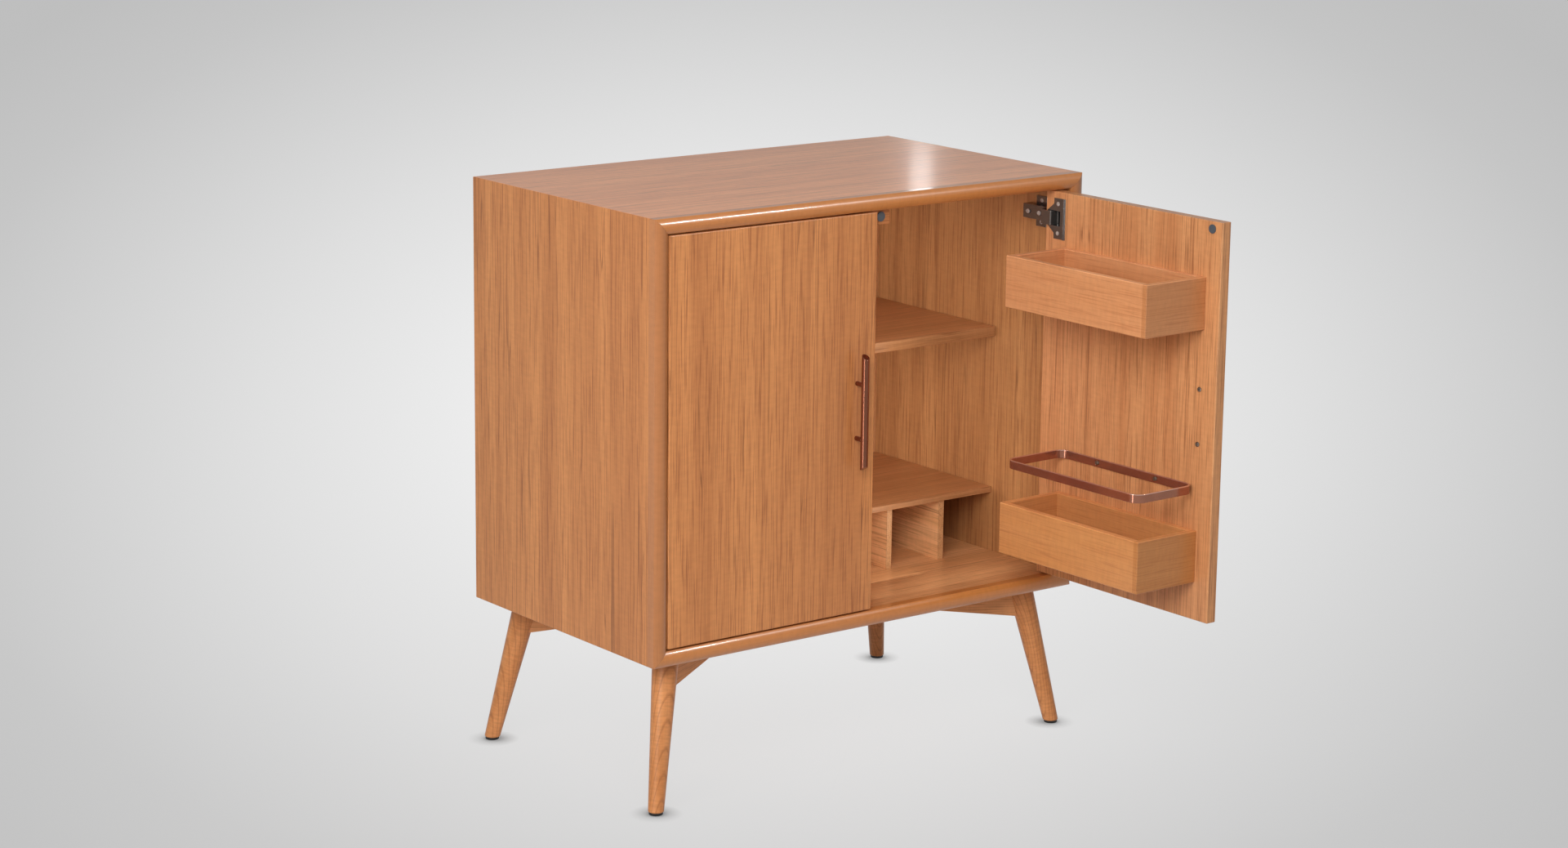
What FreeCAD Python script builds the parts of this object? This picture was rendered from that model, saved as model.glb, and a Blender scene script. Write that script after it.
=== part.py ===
import FreeCAD, Part
import math
import os

# A bar cabinet with two inset doors on a splayed-leg underframe.
# Millimetres, +Z up, the front faces -Y. The pieces are drawn in the case's frame, whose
# origin is the case's front, left, lower corner. At the end everything is moved so that
# the origin is on the floor, in the middle of the whole plan with the right door open.

# ---- case -----------------------------------------------------------------------------
CASE_W = 813.0
CASE_D = 476.0
CASE_H = 662.0
PANEL_T = 23.0
CORNER_EASE = 1.0          # radius along the mitred outer corners
MOULD_DEPTH = 14.0         # solid front moulding, behind its front edge
MOULD_BULGE = 5.0          # rise of its rounded front

BACK_T = 6.0
BACK_FIT = 0.5             # gap between the back panel and its rebate
REBATE_REACH = 8.0         # how far the rebate goes into the panels
REBATE_DEPTH = 8.0
BACK_SCREW_PITCH = 190.0
BACK_SCREW_GRIP = 12.0     # screw's length in the panels

# ---- doors ----------------------------------------------------------------------------
DOOR_T = 18.0
DOOR_GAP = 2.5             # between a door and the mouldings
DOOR_MEET = 2.6            # between the two doors
DOOR_PROUD = 1.0           # door face in front of the mouldings' edges
DOOR_EASE = 1.5
RIGHT_DOOR_OPEN = 91.0     # degrees, as the right door stands

# ---- concealed hinges -----------------------------------------------------------------
HINGE_DROP = 42.0          # upper hinge centre below the door's top edge
HINGE_RISE = 50.0          # lower hinge centre above its bottom edge
PIVOT_IN = 16.0            # pin axis from the door's hinge edge
PIVOT_DEEP = 8.2           # pin axis behind the door's face
CUP_CENTRE = 22.5          # cup axis from the door's hinge edge
CUP_R = 17.4
CUP_DEPTH = 13.2
CUP_WALL = 1.0
CUP_FLOOR = 0.8
CUP_FIT = 0.1
CUP_BORE_SPARE = 0.4
FLANGE_T = 1.2
FLANGE_H = 63.6
FLANGE_FAR = 21.0          # flange edge from the cup axis, towards the free edge
FLANGE_WING = 3.8          # wing's other edge from the cup axis, towards the hinge edge
FLANGE_TIP = 1.0           # flange's reach beyond the cup's side
FLANGE_TIP_H = 23.0
WING_H = 8.8               # straight part of a wing's side
LIP_W = 4.5                # folded lip along the flange's far edge
LIP_RISE = 1.2
MOUTH_W = 20.4             # opening that the arm swings through
MOUTH_H = 23.4
CUP_SCREW_PITCH = 46.0
CUP_SCREW_OFFSET = 4.8
CUP_SCREW_GRIP = 11.4
PIN_R = 1.25
PIN_LENGTH = 31.0
PIN_CLEARANCE = 0.05
EYE_WALL = 1.0
ARM_W = 22.0
ARM_T = 2.0
NECK_OFFSET = 15.0         # neck's centre line from the pin axis
NECK_RISE = 20.5           # the neck runs straight this far behind the pin axis
NECK_JOG = 12.5            # length of the step from the neck to the channel
CHANNEL_LENGTH = 49.8      # the arm's part over its plate
CHANNEL_H = 13.0
PLATE_T = 2.0
PLATE_WING_W = 24.0
PLATE_WING_SPAN = 48.6
PLATE_WING_SETBACK = 23.8  # wings' middle behind the channel's front
PLATE_SCREW_PITCH = 34.0
PLATE_SCREW_GRIP = 13.0
PEDESTAL_FIT = 0.2
ARM_SCREW_INSET = 12.0
ARM_SCREW_GRIP = 6.5
ARM_SCREW_R = 2.0
ARM_SLOT_W = 5.0           # slots in the arm for its two screws
ARM_SLOT_LENGTH = 13.0

# ---- handles --------------------------------------------------------------------------
HANDLE_R = 5.8
HANDLE_LENGTH = 171.0
HANDLE_BEVEL = 33.0        # degrees, slant of the bar's ends
HANDLE_EASE = 0.6
HANDLE_STANDOFF = 19.5     # bar axis from the door's face
HANDLE_INSET = 34.0        # bar axis from the door's free edge
HANDLE_RISE = 8.0          # bar's middle above the door's middle
POST_R = 3.75
POST_PITCH = 84.0
HANDLE_SCREW_R = 2.0
HANDLE_SCREW_REACH = 11.0  # thread inside the post
HANDLE_HOLE_R = 2.3

# ---- door bins and bottle rails -------------------------------------------------------
BIN_FREE_INSET = 29.0      # bin's end from the door's free edge
BIN_HINGE_INSET = 44.7     # and from its hinge edge
BIN_D = 122.0
BIN_H = 80.0
BIN_WALL = 10.0
BIN_FLOOR = 6.0
BIN_FLOOR_RISE = 3.0
BIN_EASE = 1.0
UPPER_BIN_DROP = 84.5      # upper bin's rim below the door's top
LOWER_BIN_RISE = 59.0      # lower bin's underside above the door's lower edge
BIN_DOWEL_R = 3.0
BIN_DOWEL_IN_BIN = 7.0
BIN_DOWEL_IN_DOOR = 11.0
BIN_DOWEL_INSET = 43.0     # from the bin's ends
BIN_DOWEL_DROP = 20.0      # from the bin's rim

RAIL_INSET = 7.0           # rail's ends inside the bins' ends
RAIL_D = 120.0
RAIL_H = 13.5
RAIL_T = 2.5
RAIL_CORNER = 18.0
RAIL_EASE = 0.5
RAIL_RISE = 56.5           # rail above the lower bin's rim
RAIL_SCREW_INSET = 82.5    # from the rail's ends
RAIL_SCREW_GRIP = 12.6     # screw's length in the door

# ---- magnetic catch -------------------------------------------------------------------
STRIKE_R = 6.8
STRIKE_T = 1.5
STRIKE_INSET = 20.0        # from the door's free edge
STRIKE_DROP = 11.5         # from the door's top edge
MAGNET_R = 7.5
MAGNET_T = 6.0
MAGNET_AIR = 0.4           # between a magnet and its strike
CATCH_BLOCK_W = 76.0
CATCH_BLOCK_D = 20.0
CATCH_BLOCK_H = 26.0
CATCH_BLOCK_BACK = 1.2     # block's front behind the magnets' faces

# ---- inside ---------------------------------------------------------------------------
SHELF_AIR = 29.0           # between the shelves and the bins of a closed door
SHELF_FIT = 0.5
UPPER_SHELF_TOP = 394.0
UPPER_SHELF_T = 16.5
LOWER_SHELF_TOP = 129.8
LOWER_SHELF_T = 9.5
SHELF_EASE = 1.0
SHELF_DOWEL_R = 2.5
SHELF_DOWEL_LENGTH = 24.0
SHELF_DOWEL_INSET = 45.0

DIVIDER_T = 10.0
DIVIDER_SETBACK = 4.0      # behind the shelves' front edge
BAY_W = 97.0               # clear width of a bottle bay
DIVIDERS_PER_SIDE = 3

RACK_AIR = 11.0            # between the glass rack and the bins of a closed door
RACK_BACK_GAP = 13.0
RACK_WEB_W = 14.0
RACK_WEB_H = 15.0
RACK_STRIP_T = 6.0
RACK_SLOT = 29.0           # between two strips, for a glass's stem
RACK_SCREW_INSET = 40.0
RACK_SCREW_GRIP = 12.0

# ---- underframe -----------------------------------------------------------------------
LEG_H = 229.5              # case's underside above the floor
FOOT_INSET_X = 17.5        # foot centre from the case's side
FOOT_INSET_Y = 16.0        # and from its front or back
LEG_SPLAY_X = 43.0         # top centre further in than the foot
LEG_SPLAY_Y = 37.0
LEG_TOP_R = 20.0
LEG_FOOT_R = 11.9
LEG_FOOT_EASE = 2.0
GLIDE_R = 10.6
GLIDE_T = 4.0
GLIDE_PIN_R = 1.5
GLIDE_PIN_LENGTH = 14.0
RAIL_BEAM_T = 20.0
BEAM_DEPTH_LEG = 52.9      # crossed beams' depth over the leg's top centre
BEAM_DEPTH_MIDDLE = 12.4
BEAM_EASE = 1.5
BOLT_R = 4.0
BOLT_IN_LEG = 35.0
BOLT_IN_CASE = 15.0
DOWEL_R = 4.0
UPPER_DOWEL_DROP = 14.0    # below the case's underside
UPPER_DOWEL_START = 6.0    # from the leg's top centre, along the beam
LOWER_DOWEL_DROP = 42.5
LOWER_DOWEL_START = -10.0
UPPER_DOWEL_LENGTH = 31.0
LOWER_DOWEL_LENGTH = 40.0
OUTER_BEAM_SCREW = 120.0   # from the leg's top centre
INNER_BEAM_SCREW = 250.0
BEAM_SCREW_GRIP = 22.0     # wood between the head and the case
BEAM_SCREW_IN_CASE = 14.0
BEAM_SCREW_R = 2.25
BEAM_BORE_R = 5.0

# ---- screws ---------------------------------------------------------------------------
SMALL_SCREW_R = 1.75
SMALL_HEAD_R = 3.4
SMALL_HEAD_H = 2.0
PAN_HEAD_R = 3.8
PAN_HEAD_H = 2.2
RECESS_W = 0.9
RECESS_DEPTH = 1.0

# ---- places worked out from the sizes above -------------------------------------------
V = FreeCAD.Vector
UP = V(0, 0, 1)
MID_X = CASE_W / 2
INNER_RIGHT = CASE_W - PANEL_T
INNER_TOP = CASE_H - PANEL_T
DOOR_FREE = MID_X + DOOR_MEET / 2
DOOR_HINGE = INNER_RIGHT - DOOR_GAP
DOOR_FACE = -DOOR_PROUD
DOOR_BACK = DOOR_FACE + DOOR_T
DOOR_LOW = PANEL_T + DOOR_GAP
DOOR_TOP = INNER_TOP - DOOR_GAP
PIVOT_X = DOOR_HINGE - PIVOT_IN
PIVOT_Y = DOOR_FACE + PIVOT_DEEP
HINGE_LEVELS = (DOOR_LOW + HINGE_RISE, DOOR_TOP - HINGE_DROP)
CUP_X = DOOR_HINGE - CUP_CENTRE
BIN_LEFT = DOOR_FREE + BIN_FREE_INSET
BIN_RIGHT = DOOR_HINGE - BIN_HINGE_INSET
BIN_FRONT = DOOR_BACK + BIN_D
UPPER_BIN_Z = DOOR_TOP - UPPER_BIN_DROP - BIN_H
LOWER_BIN_Z = DOOR_LOW + LOWER_BIN_RISE
RAIL_LEFT = BIN_LEFT + RAIL_INSET
RAIL_RIGHT = BIN_RIGHT - RAIL_INSET
RAIL_Z = LOWER_BIN_Z + BIN_H + RAIL_RISE
SHELF_FRONT = BIN_FRONT + SHELF_AIR
HANDLE_CENTRE = (DOOR_LOW + DOOR_TOP) / 2 + HANDLE_RISE
HANDLE_X = DOOR_FREE + HANDLE_INSET
HANDLE_Y = DOOR_FACE - HANDLE_STANDOFF
POST_LEVELS = (HANDLE_CENTRE - POST_PITCH / 2, HANDLE_CENTRE + POST_PITCH / 2)
STRIKE_X = DOOR_FREE + STRIKE_INSET
STRIKE_Z = DOOR_TOP - STRIKE_DROP
MAGNET_FACE = DOOR_BACK + STRIKE_T + MAGNET_AIR
BACK_FRONT = CASE_D - REBATE_DEPTH
BACK_REAR = BACK_FRONT + BACK_T
LEDGE = PANEL_T - REBATE_REACH
RACK_FRONT = BIN_FRONT + RACK_AIR
RACK_REAR = BACK_FRONT - RACK_BACK_GAP
CHANNEL_START = PIVOT_Y + NECK_RISE + NECK_JOG
CHANNEL_END = CHANNEL_START + CHANNEL_LENGTH
CHANNEL_ROOF = INNER_RIGHT - PLATE_T - CHANNEL_H - ARM_T / 2
EYE_R = PIN_R + PIN_CLEARANCE + EYE_WALL
LEG_TOP_X = FOOT_INSET_X + LEG_SPLAY_X
LEG_TOP_Y = FOOT_INSET_Y + LEG_SPLAY_Y
BEAM_ANGLE = math.degrees(math.atan2(CASE_D / 2 - LEG_TOP_Y, MID_X - LEG_TOP_X))
BEAM_HALF = math.hypot(CASE_D / 2 - LEG_TOP_Y, MID_X - LEG_TOP_X)


# ---- plain shapes ---------------------------------------------------------------------
def box(x0, x1, y0, y1, z0, z1):
    return Part.makeBox(x1 - x0, y1 - y0, z1 - z0, V(x0, y0, z0))


def eased_box(x0, x1, y0, y1, z0, z1, radius):
    block = box(x0, x1, y0, y1, z0, z1)
    return block.makeFillet(radius, block.Edges)


def prism(points, sweep):
    """A closed outline of 3-D points pulled along a vector."""
    return Part.Face(Part.makePolygon(points + points[:1])).extrude(sweep)


def rounded_outline(x0, x1, y0, y1, radius, z):
    """A rectangle with round corners in the plane at height z."""
    slab = Part.makeBox(x1 - x0, y1 - y0, 1.0, V(x0, y0, z))
    uprights = [e for e in slab.Edges if abs(e.BoundBox.ZLength - 1.0) < 1e-6]
    slab = slab.makeFillet(radius, uprights)
    low = min(slab.Faces, key=lambda f: f.CenterOfMass.z)
    return Part.Face(low.OuterWire)


def mirrored(shape):
    """The same piece on the cabinet's other side."""
    return shape.mirror(V(MID_X, 0, 0), V(1, 0, 0))


def group(shapes):
    return Part.makeCompound([solid for shape in shapes for solid in shape.Solids])


def both_sides(shapes):
    return group([mirrored(s) for s in shapes] + list(shapes))


def turned(shape, start, direction):
    """A piece drawn along +Z from the origin, set at a start point along a direction."""
    shape = shape.copy()
    shape.Placement = FreeCAD.Placement(V(*start), FreeCAD.Rotation(UP, V(*direction)))
    return shape


def cut_all(shape, tools):
    for tool in tools:
        shape = shape.cut(tool)
    return shape


# ---- screws: the head's seat is at the origin and the head looks along +Z --------------
def recess(top, reach):
    cross = [Part.makeBox(2 * reach, RECESS_W, RECESS_DEPTH * 2, V(-reach, -RECESS_W / 2, top - RECESS_DEPTH)),
             Part.makeBox(RECESS_W, 2 * reach, RECESS_DEPTH * 2, V(-RECESS_W / 2, -reach, top - RECESS_DEPTH))]
    return cross[0].fuse(cross[1])


def pan_screw(shank_r, length, head_r=PAN_HEAD_R, head_h=PAN_HEAD_H):
    head = Part.makeCylinder(head_r, head_h)
    rim = max((e for e in head.Edges if e.Closed), key=lambda e: e.CenterOfMass.z)
    head = head.makeFillet(head_h * 0.6, [rim])
    shank = Part.makeCylinder(shank_r, length, V(0, 0, -length))
    return head.fuse(shank).cut(recess(head_h, head_r * 0.55)).removeSplitter()


def flat_screw(length):
    head = Part.makeCone(SMALL_SCREW_R, SMALL_HEAD_R, SMALL_HEAD_H, V(0, 0, -SMALL_HEAD_H))
    shank = Part.makeCylinder(SMALL_SCREW_R, length - SMALL_HEAD_H, V(0, 0, -length))
    return head.fuse(shank).cut(recess(0, SMALL_HEAD_R * 0.55)).removeSplitter()


def flat_screw_seat(length):
    """The same screw without its recess, for cutting its hole."""
    head = Part.makeCone(SMALL_SCREW_R, SMALL_HEAD_R, SMALL_HEAD_H, V(0, 0, -SMALL_HEAD_H))
    return head.fuse(Part.makeCylinder(SMALL_SCREW_R, length - SMALL_HEAD_H, V(0, 0, -length)))


# ---- case -----------------------------------------------------------------------------
def case_sectors():
    """Outlines in XZ of the four mitred sides, each seen from the front."""
    w, h, t = CASE_W, CASE_H, PANEL_T
    return {
        "top": [(0, h), (w, h), (w - t, h - t), (t, h - t)],
        "bottom": [(0, 0), (t, t), (w - t, t), (w, 0)],
        "left_side": [(0, 0), (0, h), (t, h - t), (t, t)],
        "right_side": [(w, 0), (w - t, t), (w - t, h - t), (w, h)],
    }


def sector_prism(outline, y0, y1):
    return prism([V(x, y0, z) for x, z in outline], V(0, y1 - y0, 0))


def case_envelope():
    """The case's outer block with its long corners eased."""
    block = box(0, CASE_W, -2 * MOULD_BULGE, CASE_D, 0, CASE_H)
    corners = [e for e in block.Edges if e.BoundBox.YLength > CASE_D]
    return block.makeFillet(CORNER_EASE, corners)


def moulding_bar(side):
    """The rounded front moulding of one side, not yet mitred."""
    places = {
        "top": (lambda s, y: V(0, y, CASE_H - s), V(CASE_W, 0, 0)),
        "bottom": (lambda s, y: V(0, y, s), V(CASE_W, 0, 0)),
        "left_side": (lambda s, y: V(s, y, 0), V(0, 0, CASE_H)),
        "right_side": (lambda s, y: V(CASE_W - s, y, 0), V(0, 0, CASE_H)),
    }
    at, sweep = places[side]
    front = Part.Arc(at(0, 0), at(PANEL_T / 2, -MOULD_BULGE), at(PANEL_T, 0)).toShape()
    rest = Part.makePolygon([at(PANEL_T, 0), at(PANEL_T, MOULD_DEPTH), at(0, MOULD_DEPTH), at(0, 0)])
    return Part.Face(Part.Wire([front] + rest.Edges)).extrude(sweep)


def make_case():
    envelope = case_envelope()
    rebate = box(LEDGE, CASE_W - LEDGE, BACK_FRONT, CASE_D + 1, LEDGE, CASE_H - LEDGE)
    pieces = {}
    for side, outline in case_sectors().items():
        panel = sector_prism(outline, MOULD_DEPTH, CASE_D).common(envelope)
        pieces[side + "_panel"] = panel.cut(rebate)
        mitre = sector_prism(outline, -2 * MOULD_BULGE, MOULD_DEPTH)
        pieces[side + "_front_moulding"] = moulding_bar(side).common(mitre).common(envelope)
    fit = LEDGE + BACK_FIT
    pieces["back_panel"] = box(fit, CASE_W - fit, BACK_FRONT, BACK_REAR, fit, CASE_H - fit)
    return pieces


def back_screw_places():
    """Points along the rebate's ledge, evenly spaced on each side."""
    line = LEDGE + REBATE_REACH / 2
    across = int((CASE_W - 2 * line) // BACK_SCREW_PITCH) + 1
    along = int((CASE_H - 2 * line) // BACK_SCREW_PITCH) + 1
    xs = [line + (CASE_W - 2 * line) * i / across for i in range(across + 1)]
    zs = [line + (CASE_H - 2 * line) * i / along for i in range(1, along)]
    return ([(x, z) for x in xs for z in (line, CASE_H - line)]
            + [(x, z) for z in zs for x in (line, CASE_W - line)])


def fasten_back(pieces):
    length = BACK_T + BACK_SCREW_GRIP
    places = [(x, BACK_REAR, z) for x, z in back_screw_places()]
    seats = [turned(flat_screw_seat(length), p, (0, 1, 0)) for p in places]
    pieces["back_panel_screws"] = group([turned(flat_screw(length), p, (0, 1, 0)) for p in places])
    for name in ("back_panel", "top_panel", "bottom_panel", "left_side_panel", "right_side_panel"):
        pieces[name] = cut_all(pieces[name], seats)


# ---- shelves, bottle dividers, glass rack ----------------------------------------------
def shelf(top, thickness):
    return eased_box(PANEL_T + SHELF_FIT, INNER_RIGHT - SHELF_FIT, SHELF_FRONT, BACK_FRONT - SHELF_FIT,
                     top - thickness, top, SHELF_EASE)


def divider_lefts():
    """Left faces of the dividers: equal bays from each side, and the middle bay between."""
    step = BAY_W + DIVIDER_T
    left = [PANEL_T + step * i + BAY_W for i in range(DIVIDERS_PER_SIDE)]
    return left + [CASE_W - x - DIVIDER_T for x in reversed(left)]


def make_inside(pieces):
    pieces["upper_shelf"] = shelf(UPPER_SHELF_TOP, UPPER_SHELF_T)
    pieces["lower_shelf"] = shelf(LOWER_SHELF_TOP, LOWER_SHELF_T)
    divider_front = SHELF_FRONT + DIVIDER_SETBACK
    pieces["bottle_dividers"] = group([
        box(x, x + DIVIDER_T, divider_front, BACK_FRONT - SHELF_FIT, PANEL_T, LOWER_SHELF_TOP - LOWER_SHELF_T)
        for x in divider_lefts()])

    levels = (UPPER_SHELF_TOP - UPPER_SHELF_T / 2, LOWER_SHELF_TOP - LOWER_SHELF_T / 2)
    depths = (SHELF_FRONT + SHELF_DOWEL_INSET, BACK_FRONT - SHELF_DOWEL_INSET)
    dowels = [Part.makeCylinder(SHELF_DOWEL_R, SHELF_DOWEL_LENGTH,
                                V(INNER_RIGHT - SHELF_DOWEL_LENGTH / 2, y, z), V(1, 0, 0))
              for z in levels for y in depths]
    pieces["shelf_dowels"] = both_sides(dowels)
    for name in ("upper_shelf", "lower_shelf", "left_side_panel", "right_side_panel"):
        pieces[name] = pieces[name].cut(pieces["shelf_dowels"])


def rack_lines():
    """(web centre, strip left, strip right) of each rail of the glass rack."""
    centres = [x + DIVIDER_T / 2 for x in divider_lefts()]
    edges = [PANEL_T] + centres + [INNER_RIGHT]
    slots = [(a + b) / 2 for a, b in zip(edges, edges[1:])]
    half = RACK_SLOT / 2
    inner = [(c, slots[i] + half, slots[i + 1] - half) for i, c in enumerate(centres)]
    first = (PANEL_T + RACK_WEB_W / 2, PANEL_T, slots[0] - half)
    last = (INNER_RIGHT - RACK_WEB_W / 2, slots[-1] + half, INNER_RIGHT)
    return [first] + inner + [last]


def make_rack(pieces):
    strip_top = INNER_TOP - RACK_WEB_H
    strip_low = strip_top - RACK_STRIP_T
    webs, strips, places = [], [], []
    for centre, left, right in rack_lines():
        webs.append(box(centre - RACK_WEB_W / 2, centre + RACK_WEB_W / 2, RACK_FRONT, RACK_REAR, strip_top, INNER_TOP))
        strips.append(box(left, right, RACK_FRONT, RACK_REAR, strip_low, strip_top))
        places += [(centre, y, strip_low) for y in (RACK_FRONT + RACK_SCREW_INSET, RACK_REAR - RACK_SCREW_INSET)]
    length = RACK_WEB_H + RACK_STRIP_T + RACK_SCREW_GRIP
    seats = [turned(flat_screw_seat(length), p, (0, 0, -1)) for p in places]
    pieces["glass_rack_webs"] = cut_all(group(webs), seats)
    pieces["glass_rack_strips"] = cut_all(group(strips), seats)
    pieces["glass_rack_screws"] = group([turned(flat_screw(length), p, (0, 0, -1)) for p in places])
    pieces["top_panel"] = cut_all(pieces["top_panel"], seats)


def make_catch(pieces):
    front = MAGNET_FACE + CATCH_BLOCK_BACK
    block = box(MID_X - CATCH_BLOCK_W / 2, MID_X + CATCH_BLOCK_W / 2, front, front + CATCH_BLOCK_D,
                INNER_TOP - CATCH_BLOCK_H, INNER_TOP)
    magnet = Part.makeCylinder(MAGNET_R, MAGNET_T, V(STRIKE_X, MAGNET_FACE, STRIKE_Z), V(0, 1, 0))
    pieces["catch_magnets"] = both_sides([magnet])
    pieces["catch_block"] = block.cut(pieces["catch_magnets"])


# ---- underframe -----------------------------------------------------------------------
def corner_places(point_x, point_y):
    """The same plan point at the four corners, by name."""
    return {
        "front_left": (point_x, point_y), "front_right": (CASE_W - point_x, point_y),
        "rear_left": (point_x, CASE_D - point_y), "rear_right": (CASE_W - point_x, CASE_D - point_y),
    }


def leg(foot, top):
    """A round tapered leg, cut level at the case and above its glide."""
    height = LEG_H - GLIDE_T
    axis = V(top[0] - foot[0], top[1] - foot[1], height)
    spare = LEG_TOP_R / height
    growth = (LEG_TOP_R - LEG_FOOT_R) * spare
    start = V(foot[0], foot[1], -height) - axis * spare
    taper = Part.makeCone(LEG_FOOT_R - growth, LEG_TOP_R + growth, axis.Length * (1 + 2 * spare), start, axis)
    slab = box(-CASE_W, 2 * CASE_W, -CASE_D, 2 * CASE_D, -height, 0)
    shape = taper.common(slab)
    foot_rim = [e for e in shape.Edges if e.BoundBox.ZMax < -height + 1e-3]
    return shape.makeFillet(LEG_FOOT_EASE, foot_rim)


def beam(corner, opposite, lap_from_top):
    """One of the two crossed beams: deep at the legs, shallow where they cross."""
    start, end = V(*corner, 0), V(*opposite, 0)
    along = (end - start).normalize()
    side = UP.cross(along) * (RAIL_BEAM_T / 2)
    middle = start + along * BEAM_HALF
    outline = [start, end, end - UP * BEAM_DEPTH_LEG, middle - UP * BEAM_DEPTH_MIDDLE, start - UP * BEAM_DEPTH_LEG]
    shape = prism([p - side for p in outline], side * 2)
    low_edges = [e for e in shape.Edges
                 if e.Length > BEAM_HALF * 0.9 and e.BoundBox.ZMax < -BEAM_DEPTH_MIDDLE / 2]
    shape = shape.makeFillet(BEAM_EASE, low_edges)
    reach = RAIL_BEAM_T * 3
    if lap_from_top:
        notch = box(-reach, reach, -RAIL_BEAM_T / 2, RAIL_BEAM_T / 2, -BEAM_DEPTH_MIDDLE / 2, 1)
    else:
        notch = box(-reach, reach, -RAIL_BEAM_T / 2, RAIL_BEAM_T / 2, -2 * BEAM_DEPTH_MIDDLE, -BEAM_DEPTH_MIDDLE / 2)
    other = -math.degrees(math.atan2(along.y, along.x))
    notch.Placement = FreeCAD.Placement(middle, FreeCAD.Rotation(UP, other))
    return shape.cut(notch)


def make_underframe(pieces):
    feet = corner_places(FOOT_INSET_X, FOOT_INSET_Y)
    tops = corner_places(LEG_TOP_X, LEG_TOP_Y)
    legs = {name: leg(feet[name], tops[name]) for name in feet}
    beams = {
        "cross_beam_lower": beam(tops["front_left"], tops["rear_right"], True),
        "cross_beam_upper": beam(tops["front_right"], tops["rear_left"], False),
    }
    all_legs = group(legs.values())
    beams = {name: shape.cut(all_legs) for name, shape in beams.items()}

    glides, bolts, dowels, screws, bores = [], [], [], [], []
    for name, (fx, fy) in feet.items():
        tx, ty = tops[name]
        disc = Part.makeCylinder(GLIDE_R, GLIDE_T, V(fx, fy, -LEG_H))
        rim = min((e for e in disc.Edges if e.Closed), key=lambda e: e.CenterOfMass.z)
        disc = disc.makeFillet(GLIDE_T / 4, [rim])
        pin = Part.makeCylinder(GLIDE_PIN_R, GLIDE_T + GLIDE_PIN_LENGTH, V(fx, fy, -LEG_H + GLIDE_T / 2))
        glides.append(disc.fuse(pin).removeSplitter())
        bolts.append(Part.makeCylinder(BOLT_R, BOLT_IN_LEG + BOLT_IN_CASE, V(tx, ty, -BOLT_IN_LEG)))
        inward = V(MID_X - tx, CASE_D / 2 - ty, 0).normalize()
        upper = V(tx, ty, -UPPER_DOWEL_DROP) + inward * UPPER_DOWEL_START
        lower = V(tx, ty, -LOWER_DOWEL_DROP) + inward * LOWER_DOWEL_START
        dowels += [Part.makeCylinder(DOWEL_R, UPPER_DOWEL_LENGTH, upper, inward),
                   Part.makeCylinder(DOWEL_R, LOWER_DOWEL_LENGTH, lower, inward)]
        for place in (OUTER_BEAM_SCREW, INNER_BEAM_SCREW):
            at = V(tx, ty, -BEAM_SCREW_GRIP) + inward * place
            screws.append(turned(pan_screw(BEAM_SCREW_R, BEAM_SCREW_GRIP + BEAM_SCREW_IN_CASE), at, (0, 0, -1)))
            bores.append(Part.makeCylinder(BEAM_BORE_R, BEAM_DEPTH_LEG, at - UP * BEAM_DEPTH_LEG))
            bores.append(Part.makeCylinder(BEAM_SCREW_R, BEAM_SCREW_GRIP + BEAM_SCREW_IN_CASE, at))

    pieces["foot_glides"] = group(glides)
    pieces["leg_bolts"] = group(bolts)
    pieces["leg_dowels"] = group(dowels)
    pieces["cross_beam_screws"] = group(screws)
    inserts = [pieces["foot_glides"], pieces["leg_bolts"], pieces["leg_dowels"]]
    for name, shape in legs.items():
        pieces[name + "_leg"] = cut_all(shape, inserts)
    for name, shape in beams.items():
        pieces[name] = cut_all(shape, inserts + bores)
    pieces["bottom_panel"] = cut_all(pieces["bottom_panel"], [pieces["leg_bolts"]] + bores)


# ---- hinges ---------------------------------------------------------------------------
def arm_screw_places():
    """Where the two screws sit along the arm's channel."""
    return CHANNEL_START + ARM_SCREW_INSET, CHANNEL_END - ARM_SCREW_INSET


def arm_slot(place, z):
    """A round-ended slot through the channel's roof."""
    reach, straight = ARM_SLOT_W / 2, (ARM_SLOT_LENGTH - ARM_SLOT_W) / 2
    low, through = CHANNEL_ROOF - ARM_T, V(2 * ARM_T, 0, 0)
    ends = [Part.makeCylinder(reach, 2 * ARM_T, V(low, place + s * straight, z), through) for s in (-1, 1)]
    middle = box(low, low + 2 * ARM_T, place - straight, place + straight, z - reach, z + reach)
    return middle.fuse(ends)


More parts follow.
